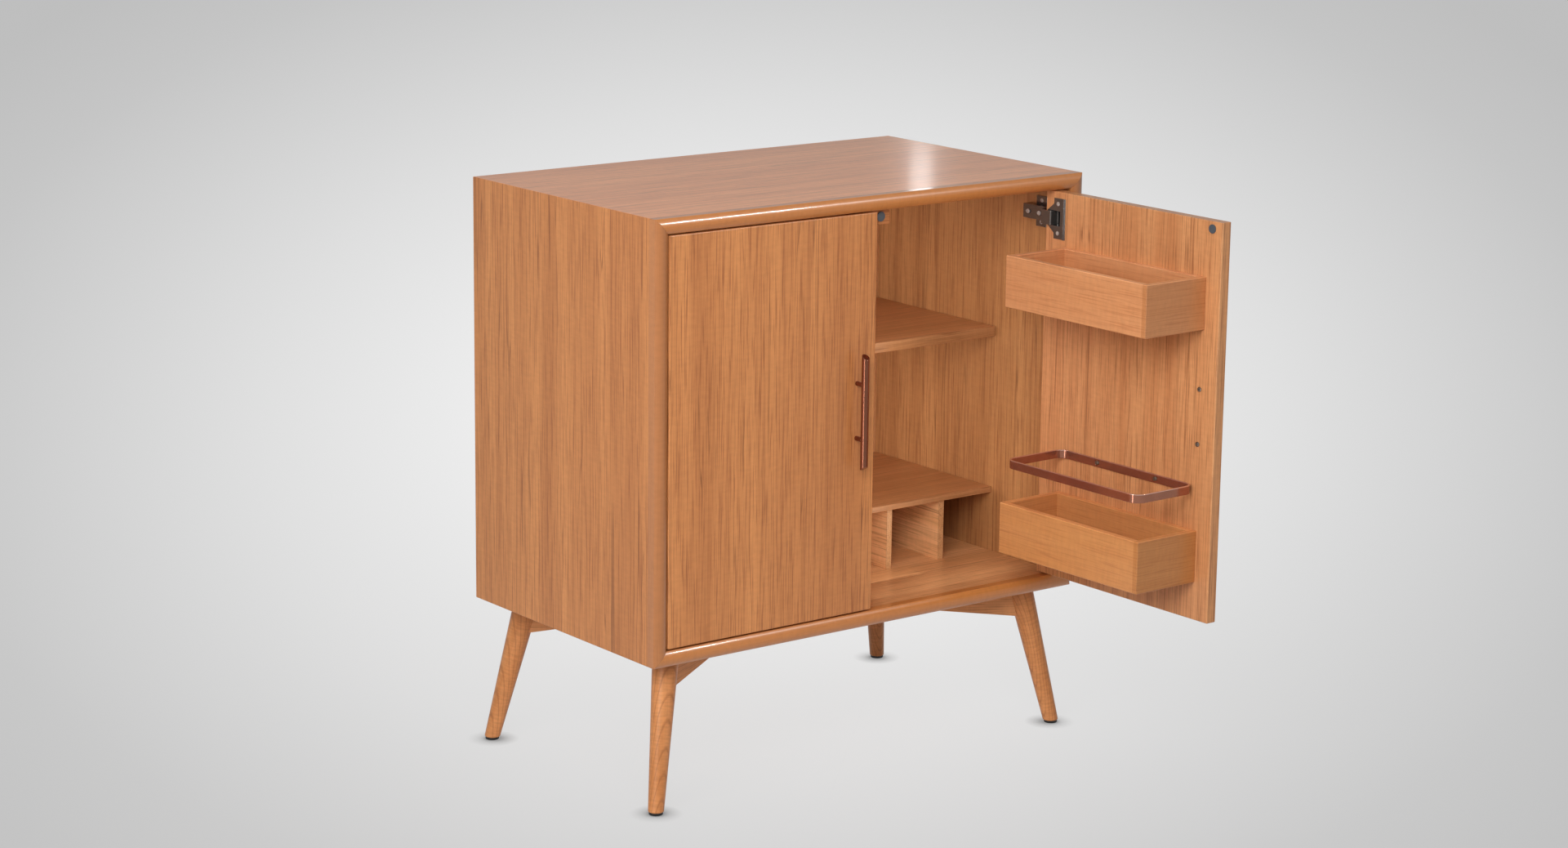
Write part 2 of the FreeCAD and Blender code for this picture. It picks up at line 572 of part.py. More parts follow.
def hinge_arm(z):
    """The fixed arm: an eye round the pin, a neck that leaves the cup, and a channel."""
    half, t = ARM_W / 2, ARM_T / 2
    x, y = PIVOT_X, PIVOT_Y
    neck, bend = x - NECK_OFFSET, y + NECK_RISE
    roof, start = CHANNEL_ROOF, CHANNEL_START
    outline = [(x, y - t), (neck - t, y - t), (neck - t, bend + t), (roof - t, start),
               (roof - t, start + 2 * t), (roof + t, start + 2 * t),
               (roof + t, start - t), (neck + t, bend), (neck + t, y + t), (x, y + t)]
    strip = prism([V(px, py, z - half) for px, py in outline], V(0, 0, ARM_W))
    outer_bend = [e for e in strip.Edges if e.BoundBox.XMax < neck - t + 1e-3 and e.BoundBox.YMax < y
                  and e.BoundBox.ZLength > t]
    strip = strip.makeFillet(ARM_T, outer_bend)
    eye = Part.makeCylinder(EYE_R, ARM_W, V(x, y, z - half))
    open_side = INNER_RIGHT - PLATE_T
    channel = box(roof - t, open_side, start, CHANNEL_END, z - half, z + half)
    hollow = box(roof + t, open_side, start - ARM_T, CHANNEL_END - ARM_T, z - half + t, z + half - t)
    arm = strip.fuse([eye, channel]).cut(hollow).removeSplitter()
    slots = [arm_slot(place, z) for place in arm_screw_places()]
    return cut_all(arm, slots + [Part.makeCylinder(PIN_R + PIN_CLEARANCE, ARM_W, V(x, y, z - half))])


def hinge_plate(z):
    """The plate on the side panel, with a pedestal inside the arm's channel."""
    side, middle = INNER_RIGHT, CHANNEL_START + PLATE_WING_SETBACK
    wings = box(side - PLATE_T, side, middle - PLATE_WING_W / 2, middle + PLATE_WING_W / 2,
                z - PLATE_WING_SPAN / 2, z + PLATE_WING_SPAN / 2)
    base = box(side - PLATE_T, side, CHANNEL_START, CHANNEL_END, z - ARM_W / 2, z + ARM_W / 2)
    reach = ARM_W / 2 - ARM_T / 2 - PEDESTAL_FIT
    pedestal = box(CHANNEL_ROOF + ARM_T / 2, side, CHANNEL_START + ARM_T, CHANNEL_END - 2 * ARM_T,
                   z - reach, z + reach)
    return wings.fuse([base, pedestal]).removeSplitter()


def hinge_cup(z):
    """The pressed cup with its winged flange and folded lip, drawn for a closed door."""
    back = DOOR_BACK
    cup = Part.makeCylinder(CUP_R, CUP_DEPTH, V(CUP_X, back - CUP_DEPTH, z), V(0, 1, 0))
    far, wing, tip = CUP_X - FLANGE_FAR, CUP_X + FLANGE_WING, CUP_X + CUP_R + FLANGE_TIP
    high, low, narrow = FLANGE_H / 2, FLANGE_H / 2 - WING_H, FLANGE_TIP_H / 2
    outline = [(far, -high), (wing, -high), (wing, -low), (tip, -narrow),
               (tip, narrow), (wing, low), (wing, high), (far, high)]
    flange = prism([V(px, back, z + pz) for px, pz in outline], V(0, FLANGE_T, 0))
    top = back + FLANGE_T + LIP_RISE
    lip = prism([V(px, py, z - high) for px, py in ((far, back), (far + LIP_W, back), (far + LIP_W, top),
                                                    (far + LIP_RISE * 2, top), (far, back + FLANGE_T / 2))],
                UP * FLANGE_H)
    hollow = Part.makeCylinder(CUP_R - CUP_WALL, CUP_DEPTH - CUP_FLOOR, V(CUP_X, back - CUP_DEPTH + CUP_FLOOR, z),
                               V(0, 1, 0))
    mouth = box(CUP_X - MOUTH_W / 2, CUP_X + MOUTH_W / 2, back - CUP_WALL, back + FLANGE_T,
                z - MOUTH_H / 2, z + MOUTH_H / 2)
    return cup.fuse([flange, lip]).cut(hollow).cut(mouth).removeSplitter()


def hinge_pin(z):
    return Part.makeCylinder(PIN_R, PIN_LENGTH, V(PIVOT_X, PIVOT_Y, z - PIN_LENGTH / 2))


def make_case_hinges(pieces):
    """The plates, arms and screws that stay on the side panels."""
    roof_top, length = CHANNEL_ROOF - ARM_T / 2, PLATE_T + PLATE_SCREW_GRIP
    middle = CHANNEL_START + PLATE_WING_SETBACK
    plates, arms, plate_screws, arm_screws = [], [], [], []
    for z in HINGE_LEVELS:
        wing_places = [(INNER_RIGHT - PLATE_T, middle, z + s * PLATE_SCREW_PITCH / 2) for s in (-1, 1)]
        seats = [turned(flat_screw_seat(length), p, (-1, 0, 0)) for p in wing_places]
        plate_screws += [turned(flat_screw(length), p, (-1, 0, 0)) for p in wing_places]
        heads = [(roof_top, y, z) for y in arm_screw_places()]
        arm_screws += [turned(pan_screw(ARM_SCREW_R, ARM_SCREW_GRIP), p, (-1, 0, 0)) for p in heads]
        shanks = [Part.makeCylinder(ARM_SCREW_R, ARM_SCREW_GRIP, V(*p), V(1, 0, 0)) for p in heads]
        plates.append(cut_all(hinge_plate(z), seats + shanks))
        arms.append(hinge_arm(z))
        pieces["right_side_panel"] = cut_all(pieces["right_side_panel"], seats)
        pieces["left_side_panel"] = cut_all(pieces["left_side_panel"], [mirrored(s) for s in seats])
    pieces["hinge_plates"] = both_sides(plates)
    pieces["hinge_arms"] = both_sides(arms)
    pieces["hinge_plate_screws"] = both_sides(plate_screws)
    pieces["hinge_arm_screws"] = both_sides(arm_screws)


# ---- door and what it carries, drawn as the right door, closed -------------------------
def door_bin(z):
    """Four mitred boards and a floor."""
    x0, x1, y0, y1, t = BIN_LEFT, BIN_RIGHT, DOOR_BACK, BIN_FRONT, BIN_WALL
    outer = [(x0, y0), (x1, y0), (x1, y1), (x0, y1)]
    inner = [(x0 + t, y0 + t), (x1 - t, y0 + t), (x1 - t, y1 - t), (x0 + t, y1 - t)]
    envelope = eased_box(x0, x1, y0, y1, z, z + BIN_H, BIN_EASE)
    boards = []
    for i in range(4):
        j = (i + 1) % 4
        outline = [outer[i], outer[j], inner[j], inner[i]]
        boards.append(prism([V(px, py, z) for px, py in outline], UP * BIN_H).common(envelope))
    low = z + BIN_FLOOR_RISE
    floor = box(x0 + t, x1 - t, y0 + t, y1 - t, low, low + BIN_FLOOR)
    return group(boards + [floor])


def bin_dowels(z):
    """Two hidden dowels that hold a bin's back board to the door."""
    return [Part.makeCylinder(BIN_DOWEL_R, BIN_DOWEL_IN_DOOR + BIN_DOWEL_IN_BIN,
                              V(x, DOOR_BACK - BIN_DOWEL_IN_DOOR, z + BIN_H - BIN_DOWEL_DROP), V(0, 1, 0))
            for x in (BIN_LEFT + BIN_DOWEL_INSET, BIN_RIGHT - BIN_DOWEL_INSET)]


def bottle_rail():
    x0, x1, y0, y1 = RAIL_LEFT, RAIL_RIGHT, DOOR_BACK, DOOR_BACK + RAIL_D
    outer = rounded_outline(x0, x1, y0, y1, RAIL_CORNER, RAIL_Z)
    inner = rounded_outline(x0 + RAIL_T, x1 - RAIL_T, y0 + RAIL_T, y1 - RAIL_T, RAIL_CORNER - RAIL_T, RAIL_Z)
    loop = outer.cut(inner).extrude(UP * RAIL_H)
    rims = [e for e in loop.Edges if e.BoundBox.ZLength < 1e-6]
    return loop.makeFillet(RAIL_EASE, rims)


def handle_bar():
    low = HANDLE_CENTRE - HANDLE_LENGTH / 2
    bar = Part.makeCylinder(HANDLE_R, HANDLE_LENGTH + 4 * HANDLE_R, V(HANDLE_X, HANDLE_Y, low - 2 * HANDLE_R))
    size = 6 * HANDLE_R
    for z, tilt, drop in ((low + HANDLE_LENGTH, HANDLE_BEVEL, 0), (low, -HANDLE_BEVEL, -size)):
        waste = Part.makeBox(size, size, size, V(-size / 2, -size / 2, drop))
        waste.Placement = FreeCAD.Placement(V(HANDLE_X, HANDLE_Y, z), FreeCAD.Rotation(V(1, 0, 0), tilt))
        bar = bar.cut(waste)
    ends = [e for e in bar.Edges if e.Closed]
    return bar.makeFillet(HANDLE_EASE, ends)


def make_door():
    door = eased_box(DOOR_FREE, DOOR_HINGE, DOOR_FACE, DOOR_BACK, DOOR_LOW, DOOR_TOP, DOOR_EASE)
    carried = {}
    bores = [Part.makeCylinder(CUP_R + CUP_FIT, CUP_DEPTH + CUP_BORE_SPARE,
                               V(CUP_X, DOOR_BACK - CUP_DEPTH - CUP_BORE_SPARE, z), V(0, 1, 0)) for z in HINGE_LEVELS]

    pins = [hinge_pin(z) for z in HINGE_LEVELS]
    cup_places = [(CUP_X - CUP_SCREW_OFFSET, DOOR_BACK + FLANGE_T, z + s * CUP_SCREW_PITCH / 2)
                  for z in HINGE_LEVELS for s in (-1, 1)]
    cup_length = FLANGE_T + CUP_SCREW_GRIP
    cup_seats = [turned(flat_screw_seat(cup_length), p, (0, 1, 0)) for p in cup_places]
    carried["hinge_cups"] = group([cut_all(hinge_cup(z), pins + cup_seats) for z in HINGE_LEVELS])
    carried["hinge_pins"] = group(pins)
    carried["hinge_cup_screws"] = group([turned(flat_screw(cup_length), p, (0, 1, 0)) for p in cup_places])

    bar = handle_bar()
    posts, screws, holes, threads = [], [], [], []
    for z in POST_LEVELS:
        seat = V(HANDLE_X, DOOR_BACK, z)
        length = DOOR_T + HANDLE_SCREW_REACH
        posts.append(Part.makeCylinder(POST_R, HANDLE_STANDOFF, V(HANDLE_X, DOOR_FACE, z), V(0, -1, 0)).cut(bar))
        screws.append(turned(pan_screw(HANDLE_SCREW_R, length), seat, (0, 1, 0)))
        threads.append(Part.makeCylinder(HANDLE_SCREW_R, length, seat, V(0, -1, 0)))
        holes.append(Part.makeCylinder(HANDLE_HOLE_R, DOOR_T, seat, V(0, -1, 0)))
    carried["handle_bar"] = bar
    carried["handle_posts"] = cut_all(group(posts), threads)
    carried["handle_screws"] = group(screws)

    carried["strike_disc"] = Part.makeCylinder(STRIKE_R, STRIKE_T, V(STRIKE_X, DOOR_BACK, STRIKE_Z), V(0, 1, 0))

    dowels = bin_dowels(UPPER_BIN_Z) + bin_dowels(LOWER_BIN_Z)
    carried["upper_bin"] = cut_all(door_bin(UPPER_BIN_Z), dowels)
    carried["lower_bin"] = cut_all(door_bin(LOWER_BIN_Z), dowels)
    carried["bin_dowels"] = group(dowels)

    rail_length = RAIL_T + RAIL_SCREW_GRIP
    rail_places = [(x, DOOR_BACK + RAIL_T, RAIL_Z + RAIL_H / 2)
                   for x in (RAIL_LEFT + RAIL_SCREW_INSET, RAIL_RIGHT - RAIL_SCREW_INSET)]
    rail_shanks = [Part.makeCylinder(SMALL_SCREW_R, rail_length, V(*p), V(0, -1, 0)) for p in rail_places]
    carried["bottle_rail"] = cut_all(bottle_rail(), rail_shanks)
    carried["rail_screws"] = group([turned(pan_screw(SMALL_SCREW_R, rail_length), p, (0, 1, 0)) for p in rail_places])

    carried["door"] = cut_all(door, bores + cup_seats + holes + dowels + rail_shanks)
    return carried


def make_doors(pieces):
    for name, shape in make_door().items():
        pieces["left_" + name] = mirrored(shape)
        opened = shape.copy()
        opened.rotate(V(PIVOT_X, PIVOT_Y, 0), UP, RIGHT_DOOR_OPEN)
        pieces["right_" + name] = opened


# ---- the whole cabinet ----------------------------------------------------------------
def make_cabinet():
    pieces = make_case()
    fasten_back(pieces)
    make_inside(pieces)
    make_rack(pieces)
    make_catch(pieces)
    make_underframe(pieces)
    make_case_hinges(pieces)
    make_doors(pieces)
    return pieces


def origin_shift(pieces):
    """From the case's corner to the floor, in the middle of the whole plan."""
    boxes = [shape.optimalBoundingBox() for shape in pieces.values()]
    mid_x = (min(b.XMin for b in boxes) + max(b.XMax for b in boxes)) / 2
    mid_y = (min(b.YMin for b in boxes) + max(b.YMax for b in boxes)) / 2
    return V(-mid_x, -mid_y, LEG_H)


CABINET = make_cabinet()
SHIFT = origin_shift(CABINET)
os.makedirs("parts", exist_ok=True)
for node, piece in CABINET.items():
    piece.translate(SHIFT)
    piece.exportStep("parts/" + node + ".step")
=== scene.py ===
import math

import bpy
from mathutils import Euler, Matrix, Vector


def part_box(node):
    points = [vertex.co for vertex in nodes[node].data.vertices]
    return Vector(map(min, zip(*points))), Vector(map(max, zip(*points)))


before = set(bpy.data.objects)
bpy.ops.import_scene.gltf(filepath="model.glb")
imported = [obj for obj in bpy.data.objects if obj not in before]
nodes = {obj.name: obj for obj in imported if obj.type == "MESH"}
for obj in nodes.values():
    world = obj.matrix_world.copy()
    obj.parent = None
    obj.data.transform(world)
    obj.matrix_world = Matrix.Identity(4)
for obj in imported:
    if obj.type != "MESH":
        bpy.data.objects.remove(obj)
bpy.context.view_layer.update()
MM = 0.001
LESS, GREATER = "LESS_THAN", "GREATER_THAN"


# ---- colours and shader nodes ----------------------------------------------------------
def colour(code, shade=1.0):
    """An sRGB hex code as linear RGBA, darkened or lightened by a shade."""
    parts = [int(code[i:i + 2], 16) / 255 for i in (1, 3, 5)]
    linear = [c / 12.92 if c <= 0.04045 else ((c + 0.055) / 1.055) ** 2.4 for c in parts]
    return tuple(shade * c for c in linear) + (1.0,)


def add(tree, kind, inputs=None, stops=None, **settings):
    """A shader node with its settings, its ramp's stops, and its inputs set to values or linked."""
    made = tree.nodes.new("ShaderNode" + kind)
    for name, value in settings.items():
        setattr(made, name, value)
    for name, value in (inputs or {}).items():
        if isinstance(value, bpy.types.Node):
            value = next(socket for socket in value.outputs if socket.enabled)
        if isinstance(value, bpy.types.NodeSocket):
            tree.links.new(value, made.inputs[name])
        else:
            made.inputs[name].default_value = value
    if stops:
        elements = made.color_ramp.elements
        while len(elements) < len(stops):
            elements.new(0.5)
        for element, (position, tint) in zip(elements, stops):
            element.position = position
            element.color = (tint, tint, tint, 1) if isinstance(tint, float) else tint
    return made


def mix(tree, share, first, second):
    """The second colour over the first, by a share."""
    return add(tree, "MixRGB", {"Fac": share, "Color1": first, "Color2": second})


def toned(tree, share, base, tone):
    """A colour multiplied by a tone, by a share."""
    return add(tree, "MixRGB", {"Fac": share, "Color1": base, "Color2": tone}, blend_type="MULTIPLY")


def new_material(name):
    """An empty material, its tree and the piece's own coordinates."""
    material = bpy.data.materials.new(name)
    material.use_nodes = True
    material.node_tree.nodes.clear()
    return material, material.node_tree, add(material.node_tree, "TexCoord").outputs["Object"]


def figure(tree, place, size, seed, detail=2.0):
    """Noise whose patches are size = (x, y, z) millimetres."""
    moved = add(tree, "Mapping", {"Vector": place, "Scale": tuple(1000 / v for v in size),
                                  "Location": (seed, seed * 1.7, seed * 2.3)})
    return add(tree, "TexNoise", {"Vector": moved, "Scale": 1.0, "Detail": detail, "Roughness": 0.55})


# ---- wood ------------------------------------------------------------------------------
def teak(name, run, seed, light="#DB9359", mid="#C8824D", dark="#965632", line="#7A482B", strength=1.0,
         rough=0.30, coat=0.0, coat_rough=0.06, apart=()):
    """Quarter-cut teak under satin lacquer: fine dark pores in long streaks, a few long dark lines,
    soft bands of orange and pinkish brown, and a faint ripple across the grain.
    run names the axes that the grain follows. Each entry of apart is (axis, side, end, tone): what lies
    on that side of the end is tinted by the tone, painted light or shade on a board, face or edge."""
    material, tree, place = new_material(name)

    def along(across, length):
        return tuple(length if axis in run else across for axis in "XYZ")

    bands = figure(tree, place, along(36.0, 1300.0), seed, 1.0)
    streaks = figure(tree, place, along(4.2, 320.0), seed + 3.0, 3.0)
    pores = figure(tree, place, along(2.1, 84.0), seed + 5.0, 2.0)
    lines = figure(tree, place, along(17.0, 900.0), seed + 8.0, 1.0)
    where = figure(tree, place, along(48.0, 320.0), seed + 9.0, 0.0)
    ripple = figure(tree, place, along(17.0, 6.5), seed + 11.0, 1.0)

    base = add(tree, "ValToRGB", {"Fac": bands}, [(0.32, colour(mid)), (0.66, colour(light))])
    share = add(tree, "ValToRGB", {"Fac": streaks}, [(0.49, 0.0), (0.72, 0.38 * strength)])
    base = mix(tree, share, base, colour(dark))
    share = add(tree, "ValToRGB", {"Fac": pores}, [(0.51, 0.0), (0.70, 0.68 * strength)])
    base = mix(tree, share, base, colour(dark))
    share = add(tree, "ValToRGB", {"Fac": lines}, [(0.488, 0.0), (0.498, 0.60 * strength), (0.508, 0.0)])
    shown = add(tree, "ValToRGB", {"Fac": where}, [(0.42, 0.0), (0.60, 1.0)])
    share = add(tree, "Math", {0: share, 1: shown}, operation="MULTIPLY")
    base = mix(tree, share, base, colour(line))
    shade = add(tree, "ValToRGB", {"Fac": ripple}, [(0.30, 0.93), (0.70, 1.0)])
    base = toned(tree, 1.0, base, shade)
    for axis, side, end, tone in apart:
        split = add(tree, "SeparateXYZ", {"Vector": place})
        share = add(tree, "Math", {0: split.outputs[axis], 1: end}, operation=side)
        base = toned(tree, share, base, tone)

    eased = add(tree, "Bevel", {"Radius": 0.5 * MM}, samples=4)
    bump = add(tree, "Bump", {"Height": pores, "Strength": 0.05, "Distance": 0.3 * MM, "Normal": eased})
    shader = add(tree, "BsdfPrincipled", {"Base Color": base, "Roughness": rough, "IOR": 1.42, "Normal": bump,
                                          "Coat Weight": coat, "Coat Roughness": coat_rough})
    add(tree, "OutputMaterial", {"Surface": shader})
    return material


def leg_teak(name, foot, top, seed):
    """Turned solid teak under satin lacquer: year rings cut at a slant show as arches down the leg.
    The leg's centre line runs from foot to top."""
    material, tree, place = new_material(name)
    axis = (Vector(top) - Vector(foot)).normalized()
    lean = axis.to_track_quat("Z", "Y").inverted().to_euler()
    upright = add(tree, "Mapping", {"Vector": place, "Rotation": lean}, vector_type="POINT")
    centre = lean.to_matrix() @ Vector(foot)
    pith = (seed * 3.0 * MM - centre.x - 0.030, 0.022 - centre.y, 0)
    moved = add(tree, "Mapping", {"Vector": upright, "Location": pith, "Rotation": (0.09, 0.12, 0)})
    rings = add(tree, "TexWave", {"Vector": moved, "Scale": 68.0, "Distortion": 1.8, "Detail": 1.0,
                                  "Detail Scale": 0.2, "Phase Offset": seed},
                wave_type="RINGS", rings_direction="Z", wave_profile="SAW")
    pores = figure(tree, upright, (1.6, 1.6, 36.0), seed)
    clouds = figure(tree, upright, (18.0, 18.0, 120.0), seed + 2.0)
    ripple = figure(tree, upright, (16.0, 16.0, 3.4), seed + 4.0, 1.0)

    base = add(tree, "ValToRGB", {"Fac": clouds}, [(0.30, colour("#C7804B")), (0.70, colour("#DB965F"))])
    share = add(tree, "ValToRGB", {"Fac": rings}, [(0.0, 0.06), (0.72, 0.0), (0.90, 0.58), (1.0, 0.14)])
    base = mix(tree, share, base, colour("#9C5F38"))
    share = add(tree, "ValToRGB", {"Fac": pores}, [(0.52, 0.0), (0.75, 0.26)])
    base = mix(tree, share, base, colour("#96603F"))
    shade = add(tree, "ValToRGB", {"Fac": ripple}, [(0.35, 0.86), (0.65, 1.0)])
    base = toned(tree, 1.0, base, shade)
    shader = add(tree, "BsdfPrincipled", {"Base Color": base, "Roughness": 0.36, "IOR": 1.32})
    add(tree, "OutputMaterial", {"Surface": shader})
    return material


# ---- metal and plastic -----------------------------------------------------------------
NO_RIM = 9.0    # metres, far above the cabinet


def metal(name, tint, rough, share=1.0, edge="#FFFFFF", highlight_share=0.0, rim_height=NO_RIM):
    """Plated metal with a fine satin grit and slightly uneven plating. Below a share of 1, a thin tinted
    lacquer over the plating scatters part of the light. By the share given after the edge colour, sharp
    edges and all that lies above the rim height are painted in the edge colour, as a painted highlight."""
    material, tree, place = new_material(name)
    fine = figure(tree, place, (0.4, 0.4, 0.4), 2.0)
    cloud = figure(tree, place, (14.0, 14.0, 14.0), 5.0)
    tinted = add(tree, "ValToRGB", {"Fac": cloud}, [(0.3, colour(tint, 0.88)), (0.7, colour(tint))])
    roughness = add(tree, "MapRange", {"Value": fine, "To Min": rough * 0.85, "To Max": rough * 1.15})
    eased = add(tree, "Bevel", {"Radius": 0.9 * MM}, samples=6)
    # painted highlight: sharp edges and all that lies above the rim height take the edge colour
    if highlight_share:
        face = add(tree, "NewGeometry").outputs["Normal"]
        turn = add(tree, "VectorMath", {0: eased, 1: face}, operation="DOT_PRODUCT").outputs["Value"]
        near_edge = add(tree, "MapRange", {"Value": turn, "From Min": 0.99, "From Max": 0.80, "To Max": highlight_share})
        height = add(tree, "SeparateXYZ", {"Vector": place}).outputs["Z"]
        upper = add(tree, "Math", {0: height, 1: rim_height}, operation=GREATER)
        polish_and_highlight = add(tree, "Math", {0: upper, 1: highlight_share, 2: near_edge}, operation="MULTIPLY_ADD",
                       use_clamp=True)
        tinted = mix(tree, polish_and_highlight, tinted, colour(edge))
    bump = add(tree, "Bump", {"Height": fine, "Strength": 0.03, "Distance": 0.2 * MM, "Normal": eased})
    shader = add(tree, "BsdfPrincipled", {"Base Color": tinted, "Metallic": share, "Roughness": roughness,
                                          "Normal": bump})
    add(tree, "OutputMaterial", {"Surface": shader})
    return material


def plastic(name, tint, rough):
    """Moulded plastic with a fine texture."""
    material, tree, place = new_material(name)
    fine = figure(tree, place, (0.8, 0.8, 0.8), 1.0)
    tinted = add(tree, "ValToRGB", {"Fac": fine}, [(0.3, colour(tint, 0.8)), (0.7, colour(tint))])
    bump = add(tree, "Bump", {"Height": fine, "Strength": 0.1, "Distance": 0.3 * MM})
    shader = add(tree, "BsdfPrincipled", {"Base Color": tinted, "Roughness": rough, "Normal": bump})
    add(tree, "OutputMaterial", {"Surface": shader})
    return material


# ---- which piece wears what ------------------------------------------------------------
def wear(material, *names):
    """Give the named pieces a material, and no other."""
    for name in names:
        piece = nodes[name]
        piece.data.materials.clear()
        piece.data.materials.append(material)


# tones against the wood around them, painted on single faces, boards and edges for how the light falls there:
# painted shade, painted light and painted highlights
# painted shade: the right side panel's inner face, darker and yellower, for the light inside the cabinet
INSIDE_FACE_SHADE = (0.79, 0.91, 0.99, 1.0)
# the back panel's outer face, toned back down out of the painted light that the back's colours carry for the
# inside
BACK_OUTSIDE_TONE = (0.86, 0.70, 0.62, 1.0)
# painted shade: the −Y end board of the right bins, darker for the light that falls there
END_BOARD = (0.84, 0.79, 0.72, 1.0)
# lifts the flat side face of the upright mouldings out of their painted shade, back to the veneer's tone
SIDE_STRIP = (1.22, 1.26, 1.32, 1.0)
# painted highlight on the bins' top edges
RIM = (1.30, 1.34, 1.42, 1.0)
# painted shade on the front edges of the shelves and of the dividers
SHELF_LIP = (0.86, 0.86, 0.85, 1.0)
DIVIDER_LIP = (0.66, 0.64, 0.62, 1.0)

SKIN = 1 * MM                  # depth of a lip or edge with its own tone
BIN_BOARD = 9 * MM             # just short of a bin's end board
INSIDE_FACE_SPLIT = 0.397             # X inside the right side panel, between its inner and outer face
MOULDING_DEPTH = 14 * MM       # from the top panel to where the mouldings' rounded front begins
moulding_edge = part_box("top_panel")[0][1] - MOULDING_DEPTH

# case and doors: teak veneer on panels, satin and warm, its grain upright on the doors, sides and back,
# from side to side on the levels and from front to back on the dividers. The top has a thin clear coat,
# so it shows more of the light
wear(teak("teak_veneer_left_side", "Z", 1.0), "left_side_panel")
wear(teak("teak_veneer_right_side", "Z", 7.0, apart=[("X", LESS, INSIDE_FACE_SPLIT, INSIDE_FACE_SHADE)]),
     "right_side_panel")
wear(teak("teak_veneer_left_door", "Z", 13.0), "left_door")
# painted light: the right door is coloured lighter than the left door, for the sheen on its open inner face
wear(teak("teak_veneer_right_door", "Z", 19.0, "#DE9E6A", "#CE8C5B", "#985D3A"), "right_door")
# painted light: the top is coloured lighter than the other veneer, for the grazing light that falls on it
wear(teak("teak_veneer_top", "X", 25.0, "#FFA969", "#F29B5D", "#BB6E44", rough=0.28, coat=0.2,
          coat_rough=0.12), "top_panel")
# painted light: the bottom, back and dividers are coloured lighter than the other veneer, for the dim inside
# of the cabinet
wear(teak("teak_veneer_bottom", "X", 31.0, "#F0B27A", "#E0A26B", "#AB7045"), "bottom_panel")
wear(teak("teak_veneer_shelves", "X", 37.0, "#CD9160", "#BE8251", "#8F5A35",
          apart=[("Y", LESS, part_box("upper_shelf")[0][1] + SKIN, SHELF_LIP)]),
     "upper_shelf", "lower_shelf")
wear(teak("teak_veneer_back", "Z", 41.0, "#F3BC85", "#E6AD78", "#B67C50",
          apart=[("Y", GREATER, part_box("back_panel")[1][1] - SKIN, BACK_OUTSIDE_TONE)]), "back_panel")
wear(teak("teak_veneer_dividers", "Y", 43.0, "#FFC68E", "#F2B57C", "#BC8050",
          apart=[("Y", LESS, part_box("bottle_dividers")[0][1] + SKIN, DIVIDER_LIP)]), "bottle_dividers")

# solid teak, plainer than veneer: coated mouldings that gleam along their rounded front, dull beams,
# catch block, glass rack and bins
# painted shade and painted light: the upright mouldings are coloured darker and the level ones lighter
wear(teak("teak_moulding_upright", "Z", 49.0, "#B57443", "#AB6C3F", "#8B5932", strength=0.25, coat=0.5,
          apart=[("Y", GREATER, moulding_edge, SIDE_STRIP)]),
     "left_side_front_moulding", "right_side_front_moulding")
wear(teak("teak_moulding_level", "X", 53.0, "#CE8446", "#C27A41", "#9E6238", strength=0.25, coat=0.4),
     "top_front_moulding", "bottom_front_moulding")
wear(teak("teak_beams", "XY", 61.0, "#E09C66", "#CF8A55", "#A1673B", rough=0.6),
     "cross_beam_lower", "cross_beam_upper")
wear(teak("teak_blocks", "X", 67.0), "catch_block")
wear(teak("teak_rack", "Y", 71.0), "glass_rack_webs", "glass_rack_strips")
wear(teak("teak_left_bins", "XY", 73.0, "#DE9A6A", "#D48E5E", "#B0683F", "#A25F3B", strength=0.6),
     "left_upper_bin", "left_lower_bin")
for bin_name, seed, light, mid in (("right_upper_bin", 83.0, "#DE9E6E", "#D59260"),
                                   ("right_lower_bin", 77.0, "#D8975E", "#CE8B52")):
    low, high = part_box(bin_name)
    # painted shade on the −Y end board and a painted highlight along the top rim
    boards = [("Y", LESS, low[1] + BIN_BOARD, END_BOARD), ("Z", GREATER, high[2] - SKIN, RIM)]
    wear(teak("teak_" + bin_name, "XY", seed, light, mid, "#B0683F", "#A25F3B", strength=0.6, apart=boards),
         bin_name)

# pale beech pegs
wear(teak("beech_dowels", "X", 79.0, "#D9B083", "#CFA273", "#B5875A", strength=0.5),
     "shelf_dowels", "leg_dowels", "left_bin_dowels", "right_bin_dowels")

# turned legs, each with its own centre line from the middle of its foot to the middle of its top
FOOT_R = 11.9 * MM             # a leg's radius at its foot
CROWN_R = 20.0 * MM            # and under the case
LEG_CORNERS = (("front", "left"), ("front", "right"), ("rear", "left"), ("rear", "right"))
for seed, (side_y, side_x) in enumerate(LEG_CORNERS):
    leg = side_y + "_" + side_x + "_leg"
    low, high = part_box(leg)
    outer, inner, inward = (low, high, 1) if side_x == "left" else (high, low, -1)
    near, far, backward = (low, high, 1) if side_y == "front" else (high, low, -1)
    foot = (outer[0] + inward * FOOT_R, near[1] + backward * FOOT_R, low[2])
    top = (inner[0] - inward * CROWN_R, far[1] - backward * CROWN_R, high[2])
    wear(leg_teak("teak_turned_" + leg, foot, top, 1.0 + seed), leg)

# handles and rails: copper plate with a painted highlight on its edges; on the rails it covers the whole
# upper rim
RAIL_RIM_HIGHLIGHT = 1.2 * MM            # height of the rails' upper rim with its painted highlight
rail_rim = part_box("right_bottle_rail")[1][2] - RAIL_RIM_HIGHLIGHT
wear(metal("copper_plate_polished", "#915A44", 0.15, 0.9, "#F0C0A8", 0.9),
     "left_handle_bar", "right_handle_bar", "left_handle_posts", "right_handle_posts")
wear(metal("copper_plate_lacquered", "#AE745D", 0.15, 0.75, "#F4CDBB", 0.7, rail_rim),
     "left_bottle_rail", "right_bottle_rail")

